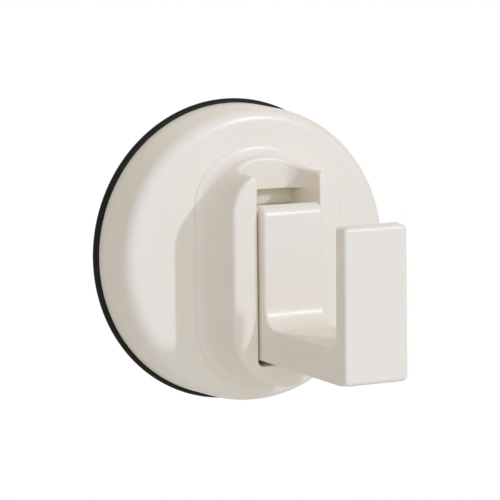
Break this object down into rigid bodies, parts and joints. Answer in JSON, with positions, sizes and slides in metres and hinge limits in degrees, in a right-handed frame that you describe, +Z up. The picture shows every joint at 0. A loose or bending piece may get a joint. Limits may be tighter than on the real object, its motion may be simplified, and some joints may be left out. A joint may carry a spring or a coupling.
{
  "type": "suction hook",
  "caption": "Wall hook on a round suction cup: a J-shaped hook swings in a slotted frame on a round cover and works the cup's cam lock.",
  "frame": {"origin": "centre of the suction cup's sealing rim, in the plane of the wall", "axes": "-Y away from the wall, +Z up, +X to the right seen from the front"},
  "size_m": [0.0786, 0.0763, 0.0786],
  "materials": {
    "cover_plastic": "satin",
    "frame_plastic": "satin",
    "hook_plastic": "satin",
    "cup_rubber": "matte",
    "stem_plastic": "matte",
    "plate_steel": "brushed",
    "pin_steel": "ground"
  },
  "bodies": {
    "housing_body": {"cover": "cover_plastic", "hook_frame": "frame_plastic", "wear_plate": "plate_steel", "suction_cup": "cup_rubber"},
    "stem_body": {"stem": "stem_plastic", "pivot_pin": "pin_steel"},
    "hook_body": {"hook": "hook_plastic"}
  },
  "joints": [
    {"name": "stem_slide", "type": "slide", "parent": "housing_body", "child": "stem_body", "axis": [0, 1, 0], "range_m": [0, 0.0025], "deforming": ["suction_cup"]},
    {"name": "hook_hinge", "type": "hinge", "parent": "stem_body", "child": "hook_body", "pos_m": [0, -0.0282, 0.007], "axis": [-1, 0, 0], "range_deg": [0, 90]}
  ],
  "couplings": [
    {"joint": "stem_slide", "follows": "hook_hinge", "m_per_rad": 0.0015915}
  ]
}
